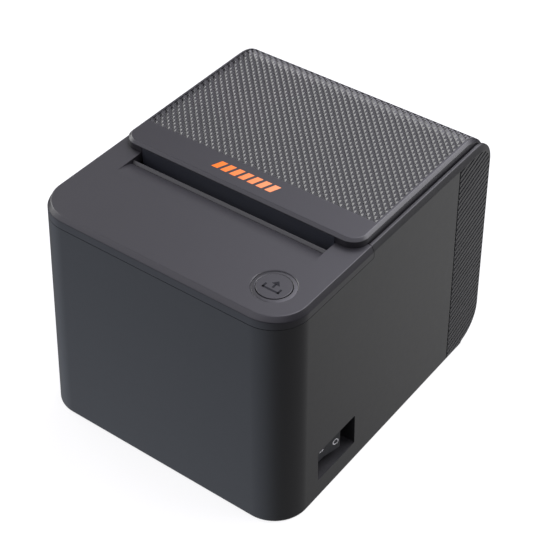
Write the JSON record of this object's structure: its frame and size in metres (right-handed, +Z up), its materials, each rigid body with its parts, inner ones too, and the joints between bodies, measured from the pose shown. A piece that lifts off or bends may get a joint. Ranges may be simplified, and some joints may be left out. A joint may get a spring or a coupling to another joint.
{
  "type": "receipt printer",
  "caption": "Desktop thermal receipt printer with a rear-hinged textured lid, a front paper slot with tear bar, a round feed button and a side rocker switch.",
  "frame": {"origin": "under the middle of the printer's bounding box, on the surface that its feet stand on", "axes": "+Z up, -Y towards the front where the paper comes out, +X to the right seen from the front"},
  "size_m": [0.1464, 0.173, 0.1271],
  "materials": {
    "body_plastic": "fine-textured dark grey",
    "panel_plastic": "fine-textured dark grey, a little lighter",
    "bar_plastic": "smooth grey",
    "lid_plastic": "satin dark grey",
    "black_plastic": "moulded black",
    "gear_plastic": "natural off-white",
    "rubber": "dull",
    "steel": "plain sheet and turned steel",
    "aluminium": "extruded",
    "brass": "turned",
    "ceramic": "ground and glazed",
    "board": "solder mask on glass fibre board",
    "flex": "amber polyimide film",
    "capacitor_blue": "shrink sleeve"
  },
  "bodies": {
    "base": {"main_housing": "body_plastic", "base_plate": "body_plastic", "front_top_panel": "panel_plastic", "feed_button_ring": "panel_plastic", "tear_bar": "bar_plastic", "cover_sensor": "black_plastic", "paper_bucket": "black_plastic", "paper_low_sensor": "black_plastic", "power_switch_body": "black_plastic", "dc_inlet": "black_plastic", "drawer_socket": "black_plastic", "processor_chip": "black_plastic", "buzzer": "black_plastic", "feed_switch": "black_plastic", "foot_front_left": "rubber", "foot_front_right": "rubber", "foot_rear_left": "rubber", "foot_rear_right": "rubber", "base_screw_front_left": "steel", "base_screw_front_right": "steel", "base_screw_rear_left": "steel", "base_screw_rear_right": "steel", "idler_pin": "steel", "stepper_motor": "steel", "cutter_motor": "steel", "mechanism_frame": "steel", "detent_spring_left": "steel", "detent_spring_right": "steel", "head_pivot_pin": "steel", "head_spring_left": "steel", "head_spring_right": "steel", "cutter_frame": "steel", "usb_socket": "steel", "lan_socket": "steel", "rear_port_bracket": "steel", "hinge_pin_left": "steel", "hinge_pin_right": "steel", "main_board": "board", "panel_board": "board", "head_flex_cable": "flex", "main_capacitor": "capacitor_blue"},
    "lid": {"lid_cover": "lid_plastic", "lid_front_fascia": "black_plastic", "lid_inner_frame": "black_plastic", "fixed_blade": "steel", "platen_bearing_left": "brass", "platen_bearing_right": "brass"},
    "platen": {"platen_rubber": "rubber", "platen_shaft": "steel", "platen_gear": "gear_plastic"},
    "idler": {"idler_gear": "gear_plastic"},
    "feed_pinion": {"feed_pinion": "brass"},
    "head": {"print_head": "ceramic", "head_heatsink": "aluminium"},
    "cutter": {"moving_blade": "steel", "blade_carrier": "gear_plastic"},
    "cutter_pinion": {"cutter_pinion": "brass"},
    "feed_button": {"feed_button": "panel_plastic"},
    "rocker": {"power_rocker": "black_plastic"}
  },
  "joints": [
    {"name": "lid_hinge", "type": "hinge", "parent": "base", "child": "lid", "pos_m": [0, 0.08305, 0.098], "axis": [-1, 0, 0], "range_deg": [0, 80]},
    {"name": "platen_spin", "type": "hinge", "parent": "lid", "child": "platen", "pos_m": [0, -0.01845, 0.099], "axis": [1, 0, 0], "continuous": true},
    {"name": "idler_spin", "type": "hinge", "parent": "base", "child": "idler", "pos_m": [0, -0.03743, 0.08869], "axis": [1, 0, 0], "continuous": true},
    {"name": "feed_pinion_spin", "type": "hinge", "parent": "base", "child": "feed_pinion", "pos_m": [0, -0.05241, 0.08109], "axis": [1, 0, 0], "continuous": true},
    {"name": "head_pivot", "type": "hinge", "parent": "base", "child": "head", "pos_m": [0, -0.02895, 0.084], "axis": [1, 0, 0], "range_deg": [0, 2.5], "stiffness_Nm_per_rad": 2, "springref_deg": -4.98},
    {"name": "blade_slide", "type": "slide", "parent": "base", "child": "cutter", "axis": [0, 1, 0], "range_m": [0, 0.009]},
    {"name": "cutter_pinion_spin", "type": "hinge", "parent": "base", "child": "cutter_pinion", "pos_m": [-0.0458, -0.05295, 0.112], "axis": [0, 0, 1], "range_deg": [0, 108]},
    {"name": "feed_button_press", "type": "slide", "parent": "base", "child": "feed_button", "axis": [0, 0, -1], "range_m": [0, 0.0008], "stiffness_N_per_m": 600, "springref_m": -0.0006},
    {"name": "power_rocker_tilt", "type": "hinge", "parent": "base", "child": "rocker", "pos_m": [0.0632, -0.04735, 0.02045], "axis": [0, 0, 1], "range_deg": [0, 16]}
  ],
  "couplings": [
    {"joint": "idler_spin", "follows": "platen_spin", "ratio": -0.8},
    {"joint": "feed_pinion_spin", "follows": "platen_spin", "ratio": 2},
    {"joint": "cutter_pinion_spin", "follows": "blade_slide", "rad_per_m": 208.33}
  ]
}
